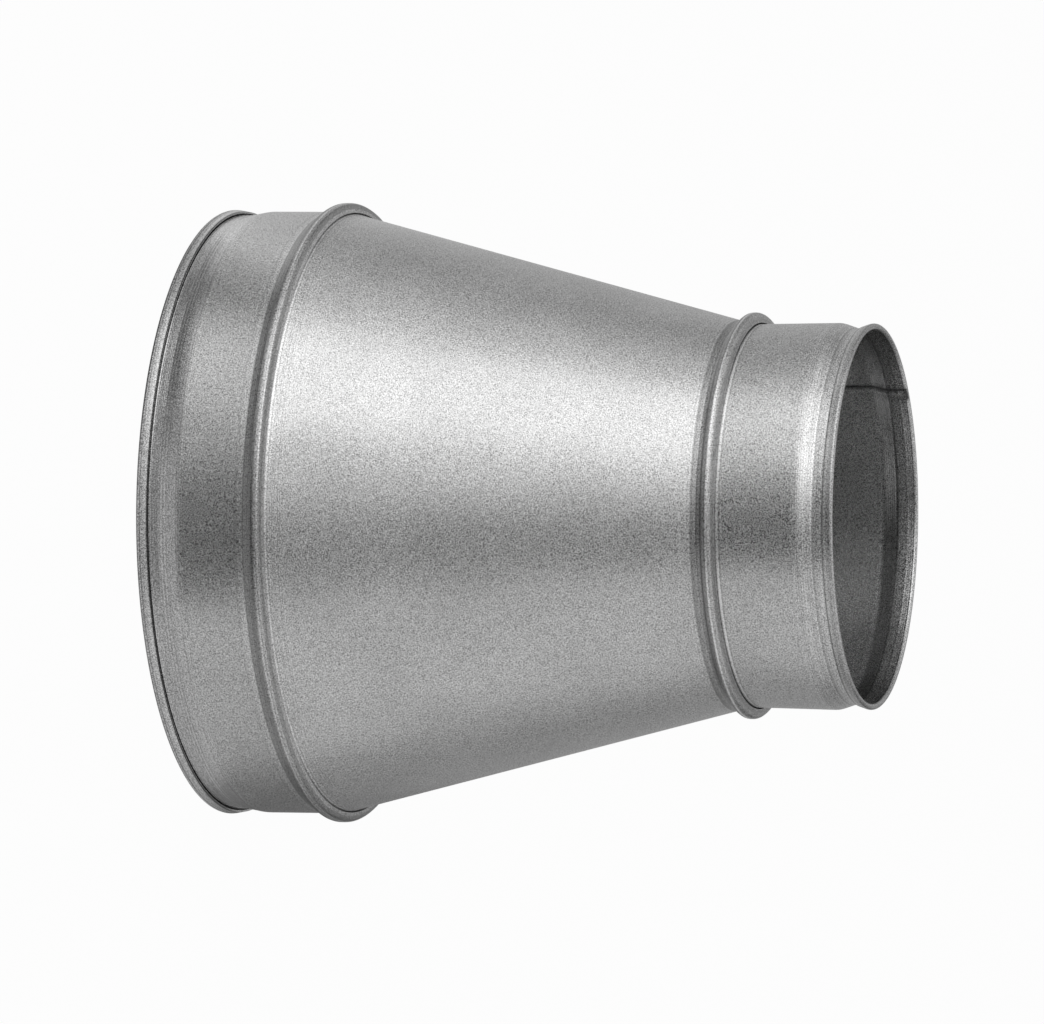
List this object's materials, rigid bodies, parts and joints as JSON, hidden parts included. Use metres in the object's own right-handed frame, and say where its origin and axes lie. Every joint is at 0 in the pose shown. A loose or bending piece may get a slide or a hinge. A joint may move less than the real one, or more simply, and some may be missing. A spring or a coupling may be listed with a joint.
{
  "type": "duct reducer",
  "caption": "Round sheet-metal duct reducer: a hemmed male collar at each end, joined by a straight cone with folded lock seams.",
  "frame": {"origin": "on the axis, in the plane that the large end stands on", "axes": "+Z along the axis from the large end to the small end; the fitting is round about it"},
  "size_m": [0.2042, 0.2042, 0.2176],
  "materials": {
    "galvanised_steel": "fine-grained galvanised, satin"
  },
  "bodies": {
    "root": {"large_collar": "galvanised_steel", "cone": "galvanised_steel", "small_collar": "galvanised_steel"}
  },
  "joints": []
}
